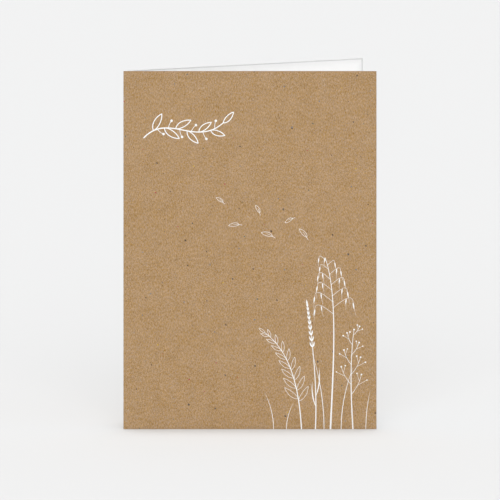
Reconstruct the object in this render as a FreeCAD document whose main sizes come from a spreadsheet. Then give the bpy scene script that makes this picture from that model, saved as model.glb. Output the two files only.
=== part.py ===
import FreeCAD, Part
import math
import os

import Sketcher

# Folded greeting card, standing open on its bottom edges.
# One rectangle of card stock is scored down the middle and folded once. The fold stands
# upright at the left, the front panel faces -Y, and the back panel swings away behind it.
# Millimetres, +Z up. The origin is the middle of the card's bounding box, on the surface
# that the card stands on.

OUT_FOLDER = "parts"

# Driving dimensions: name, value, what it is
DIMENSIONS = [
    ("panel_width", 118.0, "spine to free edge, the same for both panels"),
    ("panel_height", 169.0, "bottom edge to top edge"),
    ("sheet_thickness", 0.4, "caliper of the card stock"),
    ("fold_inner_radius", 0.2, "inside of the bend at the spine"),
    ("bead_reach", 0.6, "how far the crease bead runs out from the middle of the bend"),
    ("opening_angle", 19.0, "between the two panels, in degrees"),
]

# Sizes worked out from the driving dimensions, as formulas of the spreadsheet
DERIVED = [
    ("fold_outer_radius", "=fold_inner_radius + sheet_thickness"),
    ("panel_run", "=panel_width - fold_outer_radius"),
    (
        "card_depth",
        "=fold_outer_radius * (1 + cos(opening_angle * 1deg)) + panel_run * sin(opening_angle * 1deg)",
    ),
]


def make_sheet(doc):
    """The spreadsheet of sizes."""
    sheet = doc.addObject("Spreadsheet::Sheet", "Dims")
    row = 1
    for name, value, meaning in DIMENSIONS:
        sheet.set(f"A{row}", name)
        sheet.set(f"B{row}", str(value))
        sheet.set(f"C{row}", meaning)
        sheet.setAlias(f"B{row}", name)
        row += 1
    for name, formula in DERIVED:
        sheet.set(f"A{row}", name)
        sheet.set(f"B{row}", formula)
        sheet.setAlias(f"B{row}", name)
        row += 1
    doc.recompute()
    return sheet


def origin_plane(body, role):
    """The body's own origin plane with that role."""
    return next(f for f in body.Origin.OriginFeatures if f.Role == role)


def first_guess(sheet):
    """The corners of the folded section, seen from above, before the constraints take over."""
    inner = sheet.fold_inner_radius
    outer = sheet.fold_outer_radius
    run = sheet.panel_run
    angle = math.radians(sheet.opening_angle)
    centre = FreeCAD.Vector(
        outer - sheet.panel_width / 2, outer - sheet.card_depth / 2, 0
    )
    along = FreeCAD.Vector(math.cos(angle), math.sin(angle), 0)
    outward = FreeCAD.Vector(-math.sin(angle), math.cos(angle), 0)
    ahead = FreeCAD.Vector(1, 0, 0)
    down = FreeCAD.Vector(0, -1, 0)
    return {
        "centre": centre,
        "front_outer_bend": centre + down * outer,
        "front_outer_end": centre + down * outer + ahead * run,
        "front_inner_end": centre + down * inner + ahead * run,
        "front_bead": centre + down * inner + ahead * sheet.bead_reach,
        "back_bead": centre + outward * inner + along * sheet.bead_reach,
        "back_inner_end": centre + outward * inner + along * run,
        "back_outer_end": centre + outward * outer + along * run,
        "back_outer_bend": centre + outward * outer,
        "back_angle": math.pi / 2 + angle,
    }


def draw_section(sketch, sheet):
    """The folded sheet seen from above: two straight panels, the bend and the bead inside it."""
    at = first_guess(sheet)
    up = FreeCAD.Vector(0, 0, 1)

    def line(start, end):
        return sketch.addGeometry(Part.LineSegment(at[start], at[end]), False)

    bend_circle = Part.Circle(at["centre"], up, sheet.fold_outer_radius)
    bead_middle = (at["front_bead"] + at["back_bead"]) * 0.5
    bead_half = at["back_bead"] - bead_middle
    bead_circle = Part.Circle(bead_middle, up, bead_half.Length)
    bead_end = math.atan2(bead_half.y, bead_half.x)

    front_outer = line("front_outer_bend", "front_outer_end")
    front_edge = line("front_outer_end", "front_inner_end")
    front_inner = line("front_inner_end", "front_bead")
    bead = sketch.addGeometry(
        Part.ArcOfCircle(bead_circle, bead_end - math.pi, bead_end), False
    )
    back_inner = line("back_bead", "back_inner_end")
    back_edge = line("back_inner_end", "back_outer_end")
    back_outer = line("back_outer_end", "back_outer_bend")
    bend = sketch.addGeometry(
        Part.ArcOfCircle(bend_circle, at["back_angle"], 1.5 * math.pi), False
    )

    start, end, centre = 1, 2, 3
    origin = -1

    def fix(kind, *what):
        return sketch.addConstraint(Sketcher.Constraint(kind, *what))

    def size(name, formula, kind, *what):
        """A dimension bound to the spreadsheet, which holds what is drawn until then."""
        index = fix(kind, *what)
        sketch.renameConstraint(index, name)
        sketch.setExpression(f"Constraints.{name}", formula)

    # The outline closes, and the bend runs smoothly into both panels.
    fix("Coincident", front_outer, end, front_edge, start)
    fix("Coincident", front_edge, end, front_inner, start)
    fix("Coincident", front_inner, end, bead, start)
    fix("Coincident", bead, end, back_inner, start)
    fix("Coincident", back_inner, end, back_edge, start)
    fix("Coincident", back_edge, end, back_outer, start)
    fix("Tangent", back_outer, end, bend, start)
    fix("Tangent", bend, end, front_outer, start)

    # Both faces of a panel are parallel, and its cut edge is square to them.
    fix("Horizontal", front_outer)
    fix("Horizontal", front_inner)
    fix("Vertical", front_edge)
    fix("Parallel", back_inner, back_outer)
    fix("Perpendicular", back_edge, back_outer)

    # The bead is a half round between the two inner faces.
    fix("Symmetric", bead, start, bead, end, bead, centre)

    thickness = sheet.sheet_thickness
    run = sheet.panel_run
    reach = sheet.bead_reach
    size("front_thickness", "Dims.sheet_thickness", "Distance", front_edge, thickness)
    size("back_thickness", "Dims.sheet_thickness", "Distance", back_edge, thickness)
    size("bend_radius", "Dims.fold_outer_radius", "Radius", bend, sheet.fold_outer_radius)
    size("front_run", "Dims.panel_run", "Distance", front_outer, run)
    size("back_run", "Dims.panel_run", "Distance", back_outer, run)
    size(
        "front_free_run",
        "Dims.panel_run - Dims.bead_reach",
        "Distance",
        front_inner,
        run - reach,
    )
    size(
        "back_free_run",
        "Dims.panel_run - Dims.bead_reach",
        "Distance",
        back_inner,
        run - reach,
    )
    size(
        "opening",
        "Dims.opening_angle * 1deg",
        "Angle",
        front_outer,
        start,
        back_inner,
        start,
        math.radians(sheet.opening_angle),
    )
    size(
        "bend_from_middle",
        "Dims.panel_width / 2 - Dims.fold_outer_radius",
        "DistanceX",
        bend,
        centre,
        origin,
        1,
        -at["centre"].x,
    )
    size(
        "bend_from_centre_line",
        "Dims.card_depth / 2 - Dims.fold_outer_radius",
        "DistanceY",
        bend,
        centre,
        origin,
        1,
        -at["centre"].y,
    )


def make_card(doc, sheet):
    """The whole card, one sheet folded once."""
    body = doc.addObject("PartDesign::Body", "FoldedCard")
    body.Label = "folded_card"
    section = body.newObject("Sketcher::SketchObject", "FoldedSection")
    section.AttachmentSupport = (origin_plane(body, "XY_Plane"), [""])
    section.MapMode = "FlatFace"
    draw_section(section, sheet)
    doc.recompute()
    upright = body.newObject("PartDesign::Pad", "SheetHeight")
    upright.Profile = section
    upright.setExpression("Length", "Dims.panel_height")
    body.Tip = upright
    body.Placement = FreeCAD.Placement()
    return body


def check(doc, bodies):
    """Stops here if an object failed to recompute, or a piece isn't one sound solid."""
    for item in doc.Objects:
        if "Invalid" in item.State or "Error" in item.State:
            raise RuntimeError(f"{item.Name} did not recompute: {item.State}")
    for body in bodies:
        shape = body.Shape
        if shape.isNull() or not shape.isValid() or len(shape.Solids) != 1:
            raise RuntimeError(f"{body.Label} is not one valid solid")


def main():
    doc = FreeCAD.newDocument("GreetingCard")
    sheet = make_sheet(doc)
    bodies = [make_card(doc, sheet)]
    doc.recompute()
    check(doc, bodies)
    os.makedirs(OUT_FOLDER, exist_ok=True)
    for body in bodies:
        body.Shape.exportStep(os.path.join(OUT_FOLDER, body.Label + ".step"))
        box = body.Shape.BoundBox
        print(
            f"{body.Label}: {body.Shape.Volume:.1f} mm3, X {box.XMin:.3f} to {box.XMax:.3f},"
            f" Y {box.YMin:.3f} to {box.YMax:.3f}, Z {box.ZMin:.3f} to {box.ZMax:.3f}"
        )


main()
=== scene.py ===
import math
import random
from itertools import cycle

import bpy
from mathutils import Matrix, Vector


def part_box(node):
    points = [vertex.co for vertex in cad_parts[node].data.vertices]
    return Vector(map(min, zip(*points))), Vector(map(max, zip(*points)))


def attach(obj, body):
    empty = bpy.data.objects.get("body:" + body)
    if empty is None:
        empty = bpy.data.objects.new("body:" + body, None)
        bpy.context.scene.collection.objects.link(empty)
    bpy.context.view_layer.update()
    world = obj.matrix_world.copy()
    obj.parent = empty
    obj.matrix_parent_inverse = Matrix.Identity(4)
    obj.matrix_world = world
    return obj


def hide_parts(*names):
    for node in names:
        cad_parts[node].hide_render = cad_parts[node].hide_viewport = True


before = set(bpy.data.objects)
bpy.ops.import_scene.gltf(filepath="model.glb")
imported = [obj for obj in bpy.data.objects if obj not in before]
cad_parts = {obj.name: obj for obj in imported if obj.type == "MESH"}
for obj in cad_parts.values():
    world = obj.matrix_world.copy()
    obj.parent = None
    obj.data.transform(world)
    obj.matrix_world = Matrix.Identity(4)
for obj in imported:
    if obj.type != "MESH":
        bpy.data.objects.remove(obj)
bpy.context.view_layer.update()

# Greeting card: one sheet, kraft brown outside and white inside, with a white line print on
# the front. Lengths are in millimetres until a mesh is finished, and then in metres.

MM = 0.001

# Sizes of the folded sheet
low, high = (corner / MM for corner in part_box("folded_card"))
PANEL_WIDTH = high.x - low.x
PANEL_HEIGHT = high.z - low.z
SHEET_THICKNESS = 0.4
FOLD_INNER_RADIUS = 0.2
FOLD_OUTER_RADIUS = FOLD_INNER_RADIUS + SHEET_THICKNESS
BEAD_REACH = 0.6
OPENING = math.radians(19.0)
PANEL_RUN = PANEL_WIDTH - FOLD_OUTER_RADIUS
FOLD_CENTRE = Vector((low.x + FOLD_OUTER_RADIUS, low.y + FOLD_OUTER_RADIUS))
BEND_LENGTH = FOLD_OUTER_RADIUS * (math.pi - OPENING)
BEAD_RADIUS = BEAD_REACH * math.sin(OPENING / 2) + FOLD_INNER_RADIUS * math.cos(OPENING / 2)

# How finely the sheet is divided, how its cut edges are rounded, and from which angle between
# two faces the edge that they share looks sharp
CELL = 2.0
FOLD_STEPS = 12
CUT_ROUNDING = 0.05
CUT_STEPS = 2
SHARP_FROM = math.radians(20)

# Where the sheet's edge cuts off what is printed down to its foot
PRINT_FOOT = CUT_ROUNDING

# The sheet isn't quite flat: (height of the wave, waves across, waves up, phase)
FRONT_WAVES = [(0.07, 0.6, 0.8, 0.4), (0.04, 1.3, 0.5, 2.1), (0.03, 0.9, 1.7, 4.0)]
BACK_WAVES = [(0.07, 0.7, 0.7, 2.9), (0.04, 1.1, 1.2, 0.7), (0.03, 0.5, 1.9, 5.2)]
FLAT_BY_FOLD = 25.0

# The sheet's UV map, as a board in millimetres: the outside, the inside above it, then the cut edges
MAP_MARGIN = 2.0
OUTSIDE_LENGTH = 2 * PANEL_RUN + BEND_LENGTH
INSIDE_LENGTH = 2 * (PANEL_RUN - BEAD_REACH) + math.pi * BEAD_RADIUS
MAP_WIDTH = OUTSIDE_LENGTH + 2 * MAP_MARGIN
OUTSIDE_FOOT = MAP_MARGIN
INSIDE_FOOT = OUTSIDE_FOOT + PANEL_HEIGHT + MAP_MARGIN
EDGES_FOOT = INSIDE_FOOT + PANEL_HEIGHT + MAP_MARGIN
EDGE_BAND = 2.0
MAP_HEIGHT = EDGES_FOOT + 4 * (EDGE_BAND + MAP_MARGIN)

# The photograph's frame, where the front panel is in it, and the view's tilt and distance
FRAME_PIXELS = 500
FRONT_WIDTH_PIXELS = 253.1
FRONT_MIDDLE_ROW = 250.08
VIEW_TILT = math.radians(8.8)
CAMERA_AWAY = 1500.0

# Linear colours of the sheet: the brown outside, its rim and where it is cracked, the white
# inside, the painted shade towards its cut edges, the painted shadow line along them, and the core
KRAFT = (0.430, 0.277, 0.1415)
KRAFT_RIM = (0.33, 0.2, 0.1)
CRACKED = (0.78, 0.72, 0.62)
WHITE = (0.98, 0.978, 0.974)
WHITE_EDGE_SHADE = (0.88, 0.88, 0.878)
WHITE_EDGE_SHADOW_LINE = (0.67, 0.67, 0.67)
CORE = (0.635, 0.627, 0.61)

# Linear colours of the print's ink, and of the same ink where it is thin
INK = (0.985, 0.982, 0.976)
INK_THIN = (0.78, 0.7, 0.58)

# What one unit of tone or of warmth adds to the outside's colour, and what one unit of tone
# adds to the inside's and to the core's
TONE_STEP = (0.0427, 0.0382, 0.0367)
WARMTH_STEP = (0.036, 0.0105, -0.0165)
WHITE_STEP = (0.005, 0.005, 0.005)
CORE_STEP = (0.028, 0.028, 0.03)

# The layers of fibres that are woven together, by their turn in degrees
FIBRE_TURNS = (-25, -8, 8, 25)

# Linear colours of the recycled stock's flecks
ASH = (0.2, 0.155, 0.12)
SLATE = (0.12, 0.115, 0.115)
UMBER = (0.1, 0.055, 0.03)
PALE_ASH = (0.5, 0.44, 0.4)
TAN = (0.2, 0.12, 0.06)

# The flecks: (turn in degrees, width as a share of length, cells to a millimetre, smallest radius,
# largest radius, share of the cells with a fleck, how strongly it covers, its two end colours)
FLECKS = [
    (63, 0.5, 0.26, 0.12, 0.3, 0.6, 0.45, TAN, PALE_ASH),
    (0, 1.0, 0.15, 0.12, 0.26, 0.65, 0.65, UMBER, ASH),
    (31, 0.75, 0.08, 0.15, 0.46, 0.6, 0.95, UMBER, SLATE),
]

# The coloured flecks: the same values from the cells on, then (from which share of them, colour)
BRIGHT_FLECKS = (0.065, 0.19, 0.36, 0.72, 0.95)
BRIGHT_HUES = [
    (0.0, (0.42, 0.03, 0.07)),
    (0.3, (0.04, 0.12, 0.14)),
    (0.5, (0.1, 0.19, 0.3)),
    (0.88, (0.62, 0.42, 0.04)),
]

# The white around the card, as the camera sees it
BACKGROUND = 0.89

# Light levels, with 1 in all on a surface giving its colour as it is written. The world is
# brightest at the horizon and loses WORLD_FADE of that on the way up to overhead. A lamp's width
# is the angle that it fills in the sky, and its rise is its angle above the horizon.
WORLD_LEVEL = 1.15
WORLD_FADE = 0.8
TOP_LEVEL = 0.85
TOP_WIDTH = math.radians(16)
TOP_RISE = math.radians(90)
KEY_LEVEL = 0.34
KEY_WIDTH = math.radians(40)
KEY_RISE = math.radians(30)
FLOOR_LEVEL = WORLD_LEVEL * (1 - WORLD_FADE * 2 / 3) + TOP_LEVEL + KEY_LEVEL * math.sin(KEY_RISE)

# The part of the light on the floor that it gives back to the object
FLOOR_BOUNCE = 0.423

# How the floor's white leans towards blue, which evens out the brown that the card casts on it
FLOOR_TINT = (1.0, 1.002, 1.004)

# Half the floor's width, and how far it lies below the card's foot
FLOOR_REACH = 4000.0
FLOOR_BELOW = 0.02


class Tree:
    """A material's or a world's nodes, made by short calls. A value is a number, three numbers for
    a colour or a place, or an output."""

    def __init__(self, owner):
        owner.use_nodes = True
        self.owner = owner
        self.nodes = owner.node_tree.nodes
        self.links = owner.node_tree.links
        self.nodes.clear()

    def put(self, socket, value):
        if isinstance(value, bpy.types.NodeSocket):
            self.links.new(value, socket)
        elif socket.type == "RGBA":
            socket.default_value = (*value, 1.0)
        else:
            socket.default_value = value

    def add(self, kind, inputs, **settings):
        node = self.nodes.new(kind)
        for name, value in settings.items():
            setattr(node, name, value)
        for name, value in inputs.items():
            self.put(node.inputs[name], value)
        return node

    def math(self, operation, *values):
        """A Math node's result."""
        inputs = dict(enumerate(values))
        return self.add("ShaderNodeMath", inputs, operation=operation).outputs[0]

    def total(self, parts):
        """The sum of the parts, each given with its weight."""
        result = 0.0
        for weight, part in parts:
            result = self.math("MULTIPLY_ADD", part, weight, result)
        return result

    def mix(self, factor, a, b):
        """Colour a, turning into colour b as factor goes from 0 to 1."""
        node = self.add("ShaderNodeMix", {0: factor, 6: a, 7: b}, data_type="RGBA")
        return node.outputs[2]

    def cover(self, base, where, strength, over):
        """The base, covered with another colour where it is asked for, up to that strength."""
        return self.mix(self.math("MULTIPLY", where, strength), base, over)

    def plus(self, base, amount, step):
        """A colour or a place with amount times step added."""
        inputs = {0: amount, 1: step, 2: base}
        return self.add("ShaderNodeVectorMath", inputs, operation="MULTIPLY_ADD").outputs[0]

    def board(self):
        """The place on the sheet's board, in millimetres."""
        place = self.add("ShaderNodeUVMap", {}, uv_map="OFBake").outputs[0]
        scale = {0: place, 1: (MAP_WIDTH, MAP_HEIGHT, 1.0)}
        return self.add("ShaderNodeVectorMath", scale, operation="MULTIPLY").outputs[0]

    def turned(self, place, degrees, across, along):
        """The place turned, then scaled across and along the turned direction."""
        inputs = {
            "Vector": place,
            "Rotation": (0.0, 0.0, math.radians(degrees)),
            "Scale": (1 / across, 1 / along, 1.0),
        }
        return self.add("ShaderNodeMapping", inputs, vector_type="TEXTURE").outputs[0]

    def noise(self, place, per_mm, detail=2.0, roughness=0.5):
        """Even noise about zero, from about -1 to 1."""
        inputs = {"Vector": place, "Scale": per_mm, "Detail": detail, "Roughness": roughness}
        node = self.add("ShaderNodeTexNoise", inputs, noise_dimensions="2D")
        return self.math("MULTIPLY_ADD", node.outputs[0], 4.0, -2.0)

    def fibres(self, place, degrees, across, along, detail=1.0, roughness=0.5):
        """Noise drawn out in one direction, with so many waves to a millimetre across and along."""
        return self.noise(self.turned(place, degrees, across, along), 1.0, detail, roughness)

    def band(self, value, start, end):
        """0 up to start, 1 from end on, and smooth in between."""
        inputs = {"Value": value, "From Min": start, "From Max": end}
        node = self.add("ShaderNodeMapRange", inputs, interpolation_type="SMOOTHSTEP")
        return node.outputs[0]

    def within(self, value, full, none):
        """1 up to full, 0 from none on, and smooth in between."""
        return self.math("SUBTRACT", 1.0, self.band(value, full, none))

    def from_fold(self, place):
        """How far the place is from the middle of the fold."""
        parts = self.add("ShaderNodeSeparateXYZ", {0: place}).outputs
        return self.math("ABSOLUTE", self.math("SUBTRACT", parts[0], MAP_WIDTH / 2))

    def from_edges(self, place, foot, length):
        """How far the place is from the cut edges, on the face of that length and foot."""
        parts = self.add("ShaderNodeSeparateXYZ", {0: place}).outputs
        from_middle = self.math("SUBTRACT", parts[1], foot + PANEL_HEIGHT / 2)
        upright = self.math("SUBTRACT", PANEL_HEIGHT / 2, self.math("ABSOLUTE", from_middle))
        across = self.math("SUBTRACT", length / 2, self.from_fold(place))
        return self.math("MINIMUM", across, upright)

    def specks(self, place, per_mm, smallest, largest, share):
        """Where small dots lie, from 0 to 1, and a random number for each. That share of the cells
        has one, and their radii are in millimetres."""
        bend = 0.12
        soft_edge = 0.35
        bent = self.plus(place, self.noise(place, 3.0), (bend, bend, 0.0))
        inputs = {"Vector": bent, "Scale": per_mm, "Randomness": 1.0}
        cells = self.add("ShaderNodeTexVoronoi", inputs, voronoi_dimensions="2D").outputs
        chance = self.add("ShaderNodeSeparateColor", {0: cells["Color"]}).outputs
        spread = (largest - smallest) * per_mm
        size = self.math("MULTIPLY_ADD", chance[0], spread, smallest * per_mm)
        inside = self.math("SUBTRACT", size, cells["Distance"])
        dot = self.band(inside, 0.0, soft_edge * smallest * per_mm)
        kept = self.math("LESS_THAN", chance[1], share)
        return self.math("MULTIPLY", dot, kept), chance[2]

    def finish(self, base, roughness, specular, normal=None):
        """Closes a material's tree with its one surface."""
        inputs = {"Base Color": base, "Roughness": roughness, "Specular IOR Level": specular}
        if normal is not None:
            inputs["Normal"] = normal
        shader = self.add("ShaderNodeBsdfPrincipled", inputs)
        self.add("ShaderNodeOutputMaterial", {"Surface": shader.outputs[0]})
        return self.owner

    def paper(self, base, relief, roughness, specular=0.25, depth=0.02):
        """Closes the tree with matt paper. A relief of 1 stands out by depth, in millimetres."""
        inputs = {"Strength": 1.0, "Distance": depth * MM, "Height": relief}
        normal = self.add("ShaderNodeBump", inputs).outputs[0]
        return self.finish(base, roughness, specular, normal)


def material_tree(name):
    """An empty tree for a new material."""
    return Tree(bpy.data.materials.new(name))


def kraft_tones(tree, place):
    """The card's brown with its fibres and clouding, and the fibres alone."""
    layers = [tree.fibres(place, degrees, 1.9, 0.8) for degrees in FIBRE_TURNS]
    woven = tree.total([(1.0, layer) for layer in layers])
    grain = tree.fibres(place, 0, 3.2, 2.1)
    cloud = tree.noise(place, 0.1, detail=3.0, roughness=0.9)
    drift = tree.noise(place, 0.012, detail=1.0)
    tone = tree.total([(1.5, grain), (0.76, woven), (0.62, cloud), (0.08, drift)])
    fine = tree.fibres(place, 10, 2.4, 1.3)
    patchy = tree.noise(place, 0.24, detail=3.0, roughness=0.7)
    warmth = tree.total([(1.3, fine), (0.403, patchy)])
    return tree.plus(tree.plus(KRAFT, tone, TONE_STEP), warmth, WARMTH_STEP), woven


def kraft_flecks(tree, place, base):
    """Recycled stock: grey-brown flecks of several sizes, and a few coloured ones."""
    for degrees, slimness, *cells, strength, dark, light in FLECKS:
        flecks, kind = tree.specks(tree.turned(place, degrees, 1.0, slimness), *cells)
        base = tree.cover(base, flecks, strength, tree.mix(kind, dark, light))

    *cells, strength = BRIGHT_FLECKS
    flecks, kind = tree.specks(place, *cells)
    ramp = tree.add("ShaderNodeValToRGB", {0: kind})
    ramp.color_ramp.interpolation = "CONSTANT"
    stops = ramp.color_ramp.elements
    for k, (start, hue) in enumerate(BRIGHT_HUES):
        stop = stops.new(start) if k else stops[0]
        stop.color = (*hue, 1.0)
    return tree.cover(base, flecks, strength, ramp.outputs[0])


def kraft_material():
    """Brown recycled card. It is darker along its cut edges and has cracked along the fold."""
    tree = material_tree("kraft_print")
    place = tree.board()
    base, woven = kraft_tones(tree, place)
    base = kraft_flecks(tree, place, base)

    from_edges = tree.from_edges(place, OUTSIDE_FOOT, OUTSIDE_LENGTH)
    base = tree.cover(base, tree.within(from_edges, 0.1, 0.6), 0.5, KRAFT_RIM)
    on_fold = tree.within(tree.from_fold(place), 0.25, 0.8)
    flakes = tree.band(tree.fibres(place, 0, 9.0, 1.2, detail=3.0, roughness=0.65), 0.35, 0.8)
    base = tree.cover(base, tree.math("MULTIPLY", flakes, on_fold), 0.5, CRACKED)

    wear = tree.noise(place, 0.11, detail=4.0, roughness=0.62)
    return tree.paper(base, woven, roughness=tree.math("MULTIPLY_ADD", wear, 0.03, 0.9))


def inside_material():
    """White card with a faint tooth, and painted shade and a painted shadow line along its cut edges.
    """
    tree = material_tree("white_inside")
    place = tree.board()
    tooth = tree.noise(place, 2.2, detail=3.0, roughness=0.6)
    cloud = tree.noise(place, 0.06, detail=3.0)
    shade = tree.math("ADD", tooth, cloud)
    base = tree.plus(WHITE, shade, WHITE_STEP)
    from_edges = tree.from_edges(place, INSIDE_FOOT, INSIDE_LENGTH)
    # Painted shade: a grey band fading in from the cut edges, then a grey shadow line right on them
    base = tree.cover(base, tree.within(from_edges, 0.5, 4.5), 0.8, WHITE_EDGE_SHADE)
    base = tree.mix(tree.within(from_edges, 0.4, 0.75), base, WHITE_EDGE_SHADOW_LINE)
    return tree.paper(base, tooth, roughness=0.88, depth=0.012)


def cut_material():
    """The white core where the sheet is cut, with layered fibres along it."""
    tree = material_tree("cut_edge")
    layers = tree.fibres(tree.board(), 0, 0.8, 2.4, detail=3.0, roughness=0.6)
    base = tree.plus(CORE, layers, CORE_STEP)
    return tree.paper(base, layers, roughness=0.95, depth=0.03)


def ink_material():
    """Matt white ink, thin in places."""
    tree = material_tree("white_ink")
    texture = tree.add("ShaderNodeTexCoord", {}).outputs["Object"]
    place = tree.add("ShaderNodeMapping", {"Vector": texture, "Scale": (1 / MM,) * 3}).outputs[0]
    inputs = {"Vector": place, "Scale": 1.6, "Detail": 4.0, "Roughness": 0.6}
    cover = tree.add("ShaderNodeTexNoise", inputs, noise_dimensions="3D").outputs[0]
    base = tree.cover(INK, tree.band(cover, 0.5, 0.8), 0.15, INK_THIN)
    return tree.paper(base, cover, roughness=0.8, specular=0.3, depth=0.01)


def smooth(share):
    share = min(max(share, 0.0), 1.0)
    return share * share * (3 - 2 * share)


def wave(waves, from_fold, height):
    """How far the sheet stands out from flat there. It is flat beside the fold."""
    across = from_fold / PANEL_WIDTH
    up = height / PANEL_HEIGHT
    total = sum(
        size * math.sin(math.tau * (across * times_across + up * times_up) + phase)
        for size, times_across, times_up, phase in waves
    )
    return total * smooth(from_fold / FLAT_BY_FOLD)


class Panel:
    """One panel's straight stretch: where its faces are, by distance from the fold's centre."""

    def __init__(self, heading, outward, waves):
        self.heading = heading
        self.outward = outward
        self.waves = waves

    def point(self, from_fold, out, height):
        """A point that far along the panel and out from the fold's centre line, at that height."""
        out += wave(self.waves, from_fold, height)
        flat = FOLD_CENTRE + self.heading * from_fold + self.outward * out
        return Vector((flat.x, flat.y, height))


FRONT = Panel(Vector((1, 0)), Vector((0, -1)), FRONT_WAVES)
BACK = Panel(
    Vector((math.cos(OPENING), math.sin(OPENING))),
    Vector((-math.sin(OPENING), math.cos(OPENING))),
    BACK_WAVES,
)


def arc_point(centre, radius, angle, height):
    return Vector(
        (centre.x + radius * math.cos(angle), centre.y + radius * math.sin(angle), height)
    )


def stations():
    """The sheet's section as pairs of functions of height, outer face and inner face, with the
    distance along each face. They run from the front's free edge round the fold to the back's."""
    cells = round(PANEL_RUN / CELL)
    furthest = PANEL_RUN - CUT_ROUNDING
    runs = [furthest * k / cells for k in range(cells, -1, -1)]
    inner_share = (PANEL_RUN - BEAD_REACH) / PANEL_RUN
    bead_length = math.pi * BEAD_RADIUS

    front_bead = FOLD_CENTRE + FRONT.heading * BEAD_REACH + FRONT.outward * FOLD_INNER_RADIUS
    back_bead = FOLD_CENTRE + BACK.heading * BEAD_REACH + BACK.outward * FOLD_INNER_RADIUS
    bead_centre = (front_bead + back_bead) / 2
    bead_end = math.atan2(back_bead.y - bead_centre.y, back_bead.x - bead_centre.x)

    def straight(panel, run, side):
        inner_run = BEAD_REACH + run * inner_share
        return (
            lambda height: panel.point(run, FOLD_OUTER_RADIUS, height),
            lambda height: panel.point(inner_run, FOLD_INNER_RADIUS, height),
            side * (run + BEND_LENGTH / 2),
            side * (inner_run - BEAD_REACH + bead_length / 2),
        )

    def bent(share):
        outer_angle = -math.pi / 2 - share * (math.pi - OPENING)
        bead_angle = bead_end - math.pi + share * math.pi
        return (
            lambda height: arc_point(FOLD_CENTRE, FOLD_OUTER_RADIUS, outer_angle, height),
            lambda height: arc_point(bead_centre, BEAD_RADIUS, bead_angle, height),
            BEND_LENGTH * (0.5 - share),
            bead_length * (0.5 - share),
        )

    found = [straight(FRONT, run, 1) for run in runs]
    found += [bent(k / FOLD_STEPS) for k in range(1, FOLD_STEPS)]
    found += [straight(BACK, run, -1) for run in reversed(runs)]
    return found


def rim_profile():
    """Across a cut edge, from the outer face to the inner: the share of the sheet's thickness,
    and how far the edge stands out past the faces, which end where its rounding starts."""
    angles = [math.pi / 2 * k / CUT_STEPS for k in range(CUT_STEPS + 1)]
    outer = [(CUT_ROUNDING * (1 - math.cos(a)), CUT_ROUNDING * math.sin(a)) for a in angles]
    inner = [(SHEET_THICKNESS - depth, reach) for depth, reach in reversed(outer)]
    return [(depth / SHEET_THICKNESS, reach) for depth, reach in outer + inner]


def make_mesh(name, vertices, faces, materials):
    mesh = bpy.data.meshes.new(name)
    mesh.from_pydata(vertices, [], faces)
    for material in materials:
        mesh.materials.append(material)
    return mesh


def show(name, mesh):
    """Makes the mesh, still in millimetres, into a piece of the scene."""
    mesh.transform(Matrix.Scale(MM, 4))
    mesh.validate()
    piece = bpy.data.objects.new(name, mesh)
    bpy.context.scene.collection.objects.link(piece)
    return piece


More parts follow.
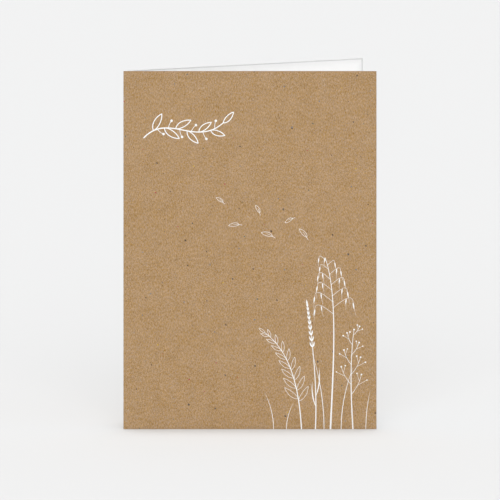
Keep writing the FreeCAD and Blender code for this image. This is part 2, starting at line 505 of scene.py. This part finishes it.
class Sheet:
    """The folded sheet's mesh: outer and inner faces as two grids, closed by the cut edges."""

    # Which of the piece's materials a face has
    OUTSIDE = 0
    INSIDE = 1
    CUT = 2

    def __init__(self):
        self.section = stations()
        rows = round(PANEL_HEIGHT / CELL)
        tall = PANEL_HEIGHT - 2 * CUT_ROUNDING
        self.heights = [CUT_ROUNDING + tall * k / rows for k in range(rows + 1)]
        self.last = len(self.section) - 1
        self.top = rows
        self.profile = rim_profile()
        self.vertices = []
        self.faces = []
        self.places = []
        self.kinds = []
        self.outer_grid = self.add_grid(0)
        self.inner_grid = self.add_grid(1)
        self.add_faces()
        self.add_rim()

    def add_grid(self, side):
        """The vertices of the outer face, side 0, or the inner one, by column and row."""
        first = len(self.vertices)
        per_column = self.top + 1
        for station in self.section:
            self.vertices += [station[side](height) for height in self.heights]
        return lambda column, row: first + column * per_column + row

    def add(self, corners, places, kind):
        self.faces.append(corners)
        self.places.extend(places)
        self.kinds.append(kind)

    def place_outer(self, column, row):
        return (MAP_WIDTH / 2 + self.section[column][2], OUTSIDE_FOOT + self.heights[row])

    def place_inner(self, column, row):
        return (MAP_WIDTH / 2 - self.section[column][3], INSIDE_FOOT + self.heights[row])

    def add_faces(self):
        for column in range(self.last):
            for row in range(self.top):
                ring = [(column, row), (column, row + 1), (column + 1, row + 1), (column + 1, row)]
                places = [self.place_outer(*at) for at in ring]
                self.add([self.outer_grid(*at) for at in ring], places, self.OUTSIDE)
                ring.reverse()
                places = [self.place_inner(*at) for at in ring]
                self.add([self.inner_grid(*at) for at in ring], places, self.INSIDE)

    def rim_point(self, column, row, share, reach):
        """A point on the cut edge beside that corner of the grids."""
        outer, inner = (face(self.heights[row]) for face in self.section[column][:2])
        point = outer.lerp(inner, share)
        if column in (0, self.last):
            heading = (BACK if column else FRONT).heading
            point += Vector((heading.x, heading.y, 0.0)) * reach
        if row in (0, self.top):
            point.z += reach if row else -reach
        return point

    def add_rim(self):
        """The cut edges: along the foot, up the back panel, along the top and down the front."""
        columns = range(self.last + 1)
        rows = range(self.top + 1)
        sides = [
            [(column, 0) for column in columns],
            [(self.last, row) for row in rows],
            [(column, self.top) for column in reversed(columns)],
            [(0, row) for row in reversed(rows)],
        ]
        beyond = len(self.profile) - 1
        made = {}

        def vertex(at, ring):
            if ring == 0:
                return self.outer_grid(*at)
            if ring == beyond:
                return self.inner_grid(*at)
            if (at, ring) not in made:
                made[at, ring] = len(self.vertices)
                self.vertices.append(self.rim_point(*at, *self.profile[ring]))
            return made[at, ring]

        def place(side, at, ring):
            column, row = at
            along = self.heights[row] if side % 2 else PANEL_WIDTH - self.section[column][2]
            foot = EDGES_FOOT + side * (EDGE_BAND + MAP_MARGIN)
            return (MAP_MARGIN + along, foot + EDGE_BAND * ring / beyond)

        for side, line in enumerate(sides):
            for here, there in zip(line, line[1:]):
                for ring in range(beyond):
                    corners = [(there, ring), (there, ring + 1), (here, ring + 1), (here, ring)]
                    places = [place(side, *corner) for corner in corners]
                    self.add([vertex(*corner) for corner in corners], places, self.CUT)


def make_card():
    """The folded sheet as one piece, in place of the plain solid."""
    sheet = Sheet()
    materials = [kraft_material(), inside_material(), cut_material()]
    mesh = make_mesh("card", sheet.vertices, sheet.faces, materials)
    mesh.polygons.foreach_set("material_index", sheet.kinds)
    layer = mesh.uv_layers.new(name="OFBake")
    for corner, (x, y) in zip(layer.uv, sheet.places):
        corner.vector = (x / MAP_WIDTH, y / MAP_HEIGHT)
    mesh.shade_smooth()
    mesh.set_sharp_from_angle(angle=SHARP_FROM)
    card = show("card", mesh)
    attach(card, "root")
    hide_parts("folded_card")


def turn(direction, degrees):
    angle = math.radians(degrees)
    x = direction.x * math.cos(angle) - direction.y * math.sin(angle)
    y = direction.x * math.sin(angle) + direction.y * math.cos(angle)
    return Vector((x, y))


def between(first, last, share):
    return first + (last - first) * share


def shares(count):
    """That many even steps from 0 to 1, with both ends."""
    return [k / (count - 1) for k in range(count)]


class Curve:
    """A Bezier curve on the front, by its control points."""

    def __init__(self, *control):
        self.control = [Vector(point) for point in control]

    def at(self, share):
        layer = self.control
        while len(layer) > 1:
            layer = [a.lerp(b, share) for a, b in zip(layer, layer[1:])]
        return layer[0]

    def heading(self, share):
        step = 0.01
        return (self.at(share + step) - self.at(share - step)).normalized()

    def points(self, steps):
        return [self.at(share) for share in shares(steps + 1)]


class Ink:
    """White shapes printed on the front, at places measured from the fold and from the foot."""

    THICKNESS = 0.018
    SINK = 0.01

    # How far one shape stands over another that it crosses, so that no two tops are in one plane
    STEP = 0.003
    BRANCH_ABOVE = 2 * STEP
    STEM_ABOVE = 4 * STEP

    # Where a line's round end has its points, as angles, and the least half width of a point
    CAP_ANGLES = (0.55, 1.05, 1.5)
    THINNEST = 0.03

    def __init__(self, name, order):
        self.name = name
        self.base = self.THICKNESS + order * self.STEP / 4
        self.vertices = []
        self.faces = []
        self.random = random.Random(order)

    def on_front(self, spot, out):
        return FRONT.point(spot.x - FOLD_OUTER_RADIUS, FOLD_OUTER_RADIUS + out, spot.y)

    def ribbon(self, points, halves, above=0.0):
        """A thin closed band along the points, with half its width at each."""
        first = len(self.vertices)
        last = len(points) - 1
        for k, point in enumerate(points):
            heading = (points[min(k + 1, last)] - points[max(k - 1, 0)]).normalized()
            side = turn(heading, 90) * halves[k]
            for out in (self.base + above, -self.SINK):
                for spot in (point + side, point - side):
                    self.vertices.append(self.on_front(spot, out))
        for k in range(last):
            a = first + 4 * k
            b = a + 4
            self.faces += [
                (a, a + 1, b + 1, b),
                (a + 3, a + 2, b + 2, b + 3),
                (a + 2, a, b, b + 2),
                (a + 1, a + 3, b + 3, b + 1),
            ]
        end = first + 4 * last
        self.faces += [(first, first + 2, first + 3, first + 1), (end, end + 1, end + 3, end + 2)]

    def stroke(self, points, start, end, above=0.0, cut=False):
        """A line whose width goes from start to end, with round ends, or cut off flat at its start."""
        halves = [between(start, end, share) / 2 for share in shares(len(points))]
        before = (points[0] - points[1]).normalized()
        beyond = (points[-1] - points[-2]).normalized()
        caps = [(math.sin(angle), math.cos(angle)) for angle in self.CAP_ANGLES]
        first_caps = [] if cut else caps[::-1]
        head = [points[0] + before * reach * halves[0] for reach, _ in first_caps]
        tail = [points[-1] + beyond * reach * halves[-1] for reach, _ in caps]
        widths = [across * halves[0] for _, across in first_caps]
        widths += halves + [across * halves[-1] for _, across in caps]
        self.ribbon(head + points + tail, widths, above)

    def stem(self, curve, start, end):
        """A plant's stem, as wide as start at its foot, where the sheet's edge cuts it off."""
        self.stroke(curve.points(56), start, end, self.STEM_ABOVE, cut=True)

    def branch(self, curve, steps, start, end):
        """A finer line, which lies over leaves and under stems."""
        self.stroke(curve.points(steps), start, end, self.BRANCH_ABOVE)

    def dot(self, spot, radius):
        """A filled round dot, whose two ends are cut off a little."""
        steps = 10
        trim = 0.15
        angles = [math.pi * (k + trim) / (steps + 2 * trim) for k in range(steps + 1)]
        points = [spot + Vector((-math.cos(angle) * radius, 0)) for angle in angles]
        self.ribbon(points, [radius * math.sin(angle) for angle in angles])

    def leaf(self, foot, heading, length, width, curl=0.0):
        """A filled leaf, pointed at both ends. curl bends it sideways, in degrees."""
        tip = foot + turn(heading, curl) * length
        middle = Curve(foot, foot + heading * length * 0.5, tip)
        along = shares(11)
        halves = [0.5 * width * math.sin(math.pi * s**0.8) ** 0.9 for s in along]
        self.ribbon([middle.at(s) for s in along], [max(half, self.THINNEST) for half in halves])

    def open_leaf(self, foot, heading, length, width, line, curl=0.0):
        """A leaf drawn as an outline of that line width."""
        tip = foot + turn(heading, curl) * length
        side = turn(heading, 90) * width * 0.68
        for sign, above in ((1, 0.0), (-1, self.STEP)):
            edge = Curve(
                foot,
                foot + heading * length * 0.25 + side * sign,
                foot + turn(heading, curl * 0.6) * length * 0.7 + side * sign * 0.9,
                tip,
            )
            self.stroke(edge.points(18), line, line, above)

    def finish(self, material):
        piece = show(self.name, make_mesh(self.name, self.vertices, self.faces, [material]))
        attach(piece, "root")


def draw_twig(ink, stem):
    """The ornament at the top left: a wavy twig with open leaves and berries."""
    line = 0.44
    berry = 0.6
    ink.stroke(stem.points(48), 0.6, 0.46, ink.STEM_ABOVE)
    for up, side in zip(shares(6), cycle((1, -1))):
        share = between(0.13, 0.85, up)
        length = between(8.8, 7.0, up)
        heading = turn(stem.heading(share), side * 48)
        ink.open_leaf(stem.at(share), heading, length, length * 0.34, line, curl=-side * 9)
        spot = stem.at(share + 0.05)
        heading = turn(stem.heading(share), -side * 78)
        stalk = Curve(spot, spot + heading * 2.0, spot + turn(heading, side * 14) * 3.7)
        ink.branch(stalk, 10, 0.28, 0.24)
        ink.dot(stalk.at(1.0), berry)
    ink.open_leaf(stem.at(1.0), stem.heading(0.98), 7.0, 2.3, line, curl=8)


def draw_grain(ink, spot, size, lean):
    """A slim hanging grain with a bristle."""
    down = turn(Vector((0, -1)), lean)
    ink.leaf(spot, down, size, size * 0.2)
    bristle = Curve(spot + down * size * 0.6, spot + turn(down, 4) * size * 1.9)
    ink.branch(bristle, 4, 0.1, 0.07)


def draw_oats(ink, stem):
    """Tall grass with a loose, nodding head, whose thin branches end in hanging grains. A long
    branch has one halfway too."""
    long_from = 6.0
    ink.stem(stem, 0.74, 0.2)
    for up, side in zip(shares(11), cycle((-1, 1))):
        spot = stem.at(between(0.6, 0.97, up))
        reach = between(10.5, 4.0, up) * ink.random.uniform(0.9, 1.1)
        out = turn(Vector((0, 1)), -side * between(52, 44, up))
        end = spot + out * reach + Vector((side * 0.1, -0.38)) * reach
        branch = Curve(spot, spot + out * reach * 0.5, spot + out * reach * 1.1, end)
        ink.branch(branch, 20, 0.17, 0.11)
        draw_grain(ink, end, between(3.4, 2.6, up), side * 8)
        if reach > long_from:
            draw_grain(ink, branch.at(0.5), 2.8, -side * 6)
    draw_grain(ink, stem.at(1.0), 2.6, -10)


def draw_leafy(ink, stem):
    """A slender arching sprig with outlined leaves in pairs."""
    line = 0.16
    ink.stem(stem, 0.52, 0.18)
    for up in shares(8):
        share = between(0.26, 0.94, up)
        length = between(8.2, 4.0, up)
        for side in (-1, 1):
            foot = stem.at(share + 0.01 * side)
            heading = turn(stem.heading(share), side * between(54, 40, up))
            ink.open_leaf(foot, heading, length, length * 0.27, line, curl=-side * 12)
    ink.open_leaf(stem.at(1.0), stem.heading(0.99), 3.6, 1.0, line)


def draw_spike(ink, stem):
    """A slender spike with small buds in pairs, wider apart lower down."""
    ink.stem(stem, 0.5, 0.2)
    for up in shares(10):
        share = between(0.62, 0.98, 1 - (1 - up) ** 1.25)
        size = between(2.9, 1.6, up)
        for side in (-1, 1):
            heading = turn(stem.heading(share), side * between(40, 26, up))
            ink.leaf(stem.at(share), heading, size, size * 0.23, curl=-side * 20)
    ink.leaf(stem.at(0.99), stem.heading(0.99), 1.8, 0.45)
    for share, side, length in ((0.16, 1, 12.0), (0.24, -1, 13.5)):
        heading = turn(stem.heading(share), side * 22)
        ink.leaf(stem.at(share), heading, length, 0.5, curl=-side * 14)


def draw_berries(ink, stem):
    """A branching sprig with a small berry at the end of each twig."""
    berry = 0.4
    ink.stem(stem, 0.56, 0.2)
    for up, side in zip(shares(7), cycle((-1, 1))):
        share = between(0.34, 0.94, up)
        reach = between(11.0, 5.0, up) * ink.random.uniform(0.94, 1.04)
        spot = stem.at(share)
        out = turn(stem.heading(share), side * 42)
        branch = Curve(spot, spot + out * reach * 0.5, spot + turn(out, -side * 14) * reach)
        ink.branch(branch, 14, 0.2, 0.14)
        ink.dot(branch.at(1.0), berry)
        for place, tilt, length in ((0.5, 34, 0.42), (0.7, -38, 0.3)):
            fork = branch.at(place)
            tip = fork + turn(branch.heading(place), side * tilt) * (reach * length + 0.6)
            ink.branch(Curve(fork, tip), 2, 0.14, 0.12)
            ink.dot(tip, ink.random.uniform(0.75 * berry, berry))
    ink.dot(stem.at(1.0), berry)


def draw_blades(ink):
    """Long thin grass blades between the plants: where each starts, its height, lean and width."""
    thinnest = 0.035
    along = shares(37)
    for start, top, lean, width in [
        (70.0, 17.0, -4.0, 0.34),
        (76.0, 12.0, 3.0, 0.32),
        (93.5, 36.0, -5.5, 0.38),
        (101.5, 29.0, 5.5, 0.38),
        (113.0, 18.0, 2.0, 0.34),
    ]:
        blade = Curve((start, PRINT_FOOT), (start, top * 0.5), (start + lean, top))
        halves = [0.5 * width * (0.7 + 1.3 * s) * (1 - s) ** 0.9 for s in along]
        ink.ribbon([blade.at(s) for s in along], [max(half, thinnest) for half in halves])


def draw_drifting(ink):
    """Outlined leaves carried off on the air: where each is, its turn in degrees and its length."""
    line = 0.15
    for across, up, degrees, length in [
        (85.5, 90.5, 118, 5.4),
        (79.0, 99.5, 196, 4.3),
        (69.5, 91.0, 148, 5.6),
        (63.5, 102.0, 104, 4.2),
        (54.0, 96.5, 171, 5.0),
        (46.5, 107.0, 132, 4.0),
    ]:
        foot = Vector((across, up))
        heading = turn(Vector((1, 0)), degrees)
        ink.open_leaf(foot, heading, length, length * 0.35, line, curl=14)
        stalk_end = foot - heading * length * 0.25
        vein_end = foot + turn(heading, 6) * length * 0.55
        ink.branch(Curve(stalk_end, foot + heading * length * 0.25, vein_end), 10, 0.17, 0.09)


def make_print():
    """The white line print: an ornament at the top left, and a meadow border at the lower right."""
    foot = PRINT_FOOT
    drawings = [
        ("twig", draw_twig, Curve((9.5, 137.5), (21.0, 149.5), (33.5, 133.0), (46.5, 144.5))),
        ("oats", draw_oats, Curve((96.5, foot), (98.0, 32.0), (100.0, 64.0), (94.0, 81.0))),
        ("leafy", draw_leafy, Curve((83.0, foot), (82.0, 18.0), (78.5, 36.0), (66.0, 45.5))),
        ("spike", draw_spike, Curve((89.5, foot), (90.5, 22.0), (88.0, 42.0), (85.5, 60.0))),
        ("berries", draw_berries, Curve((107.0, foot), (106.0, 16.0), (105.5, 32.0), (107.5, 47.0))),
        ("blades", draw_blades),
        ("drifting", draw_drifting),
    ]
    material = ink_material()
    for order, (name, draw, *stem) in enumerate(drawings):
        ink = Ink(f"print_{name}", order)
        draw(ink, *stem)
        ink.finish(material)


def make_floor():
    """A wide, plain, pale table."""
    tree = material_tree("pale_floor")
    path = tree.add("ShaderNodeLightPath", {}).outputs
    seen = tree.math("MAXIMUM", path["Is Camera Ray"], path["Is Glossy Ray"])
    seen = tree.math("MAXIMUM", seen, path["Is Transmission Ray"])
    shown = tuple(share * BACKGROUND / FLOOR_LEVEL for share in FLOOR_TINT)
    base = tree.mix(seen, (FLOOR_BOUNCE,) * 3, shown)
    material = tree.finish(base, roughness=1.0, specular=0.0)
    ring = [(-1, -1), (1, -1), (1, 1), (-1, 1)]
    corners = [(x * FLOOR_REACH, y * FLOOR_REACH, -FLOOR_BELOW) for x, y in ring]
    floor = show("floor", make_mesh("floor", corners, [(0, 1, 2, 3)], [material]))


def make_sun(name, level, width, rise):
    """A broad distant lamp, overhead or in front of the card."""
    data = bpy.data.lights.new(name, "SUN")
    data.energy = math.pi * level
    data.angle = width
    lamp = bpy.data.objects.new(name, data)
    lamp.rotation_euler = (math.pi / 2 - rise, 0.0, 0.0)
    bpy.context.scene.collection.objects.link(lamp)


def make_world():
    """Even light from all round, which the camera sees as the pale background."""
    world = bpy.data.worlds.new("studio")
    bpy.context.scene.world = world
    tree = Tree(world)
    direction = tree.add("ShaderNodeTexCoord", {}).outputs["Generated"]
    up = tree.add("ShaderNodeSeparateXYZ", {0: direction}).outputs["Z"]
    level = tree.math("MULTIPLY_ADD", up, -WORLD_LEVEL * WORLD_FADE, WORLD_LEVEL)
    neutral = (1.0, 1.0, 1.0)
    fill = tree.add("ShaderNodeBackground", {"Color": neutral, "Strength": level}).outputs[0]
    pale = {"Color": neutral, "Strength": BACKGROUND}
    shown = tree.add("ShaderNodeBackground", pale).outputs[0]
    path = tree.add("ShaderNodeLightPath", {}).outputs
    seen = tree.math("MAXIMUM", path["Is Camera Ray"], path["Is Glossy Ray"])
    choice = tree.add("ShaderNodeMixShader", {0: seen, 1: fill, 2: shown}).outputs[0]
    tree.add("ShaderNodeOutputWorld", {"Surface": choice})


def make_camera():
    """A view square to the front panel from a little above, without perspective."""
    data = bpy.data.cameras.new("camera")
    data.type = "ORTHO"
    pixel = PANEL_WIDTH * MM / FRONT_WIDTH_PIXELS
    data.ortho_scale = FRAME_PIXELS * pixel
    camera = bpy.data.objects.new("camera", data)
    aim = Vector((0.0, low.y, PANEL_HEIGHT / 2)) * MM
    up = Vector((0.0, math.sin(VIEW_TILT), math.cos(VIEW_TILT)))
    back = Vector((0.0, -math.cos(VIEW_TILT), math.sin(VIEW_TILT)))
    raised = (FRONT_MIDDLE_ROW - FRAME_PIXELS / 2) * pixel
    camera.location = aim + up * raised + back * CAMERA_AWAY * MM
    camera.rotation_euler = (math.pi / 2 - VIEW_TILT, 0.0, 0.0)
    bpy.context.scene.collection.objects.link(camera)
    bpy.context.scene.camera = camera


bpy.context.scene.view_settings.view_transform = "Standard"
make_camera()
make_sun("top", TOP_LEVEL, TOP_WIDTH, TOP_RISE)
make_sun("key", KEY_LEVEL, KEY_WIDTH, KEY_RISE)
make_world()
make_floor()
make_card()
make_print()
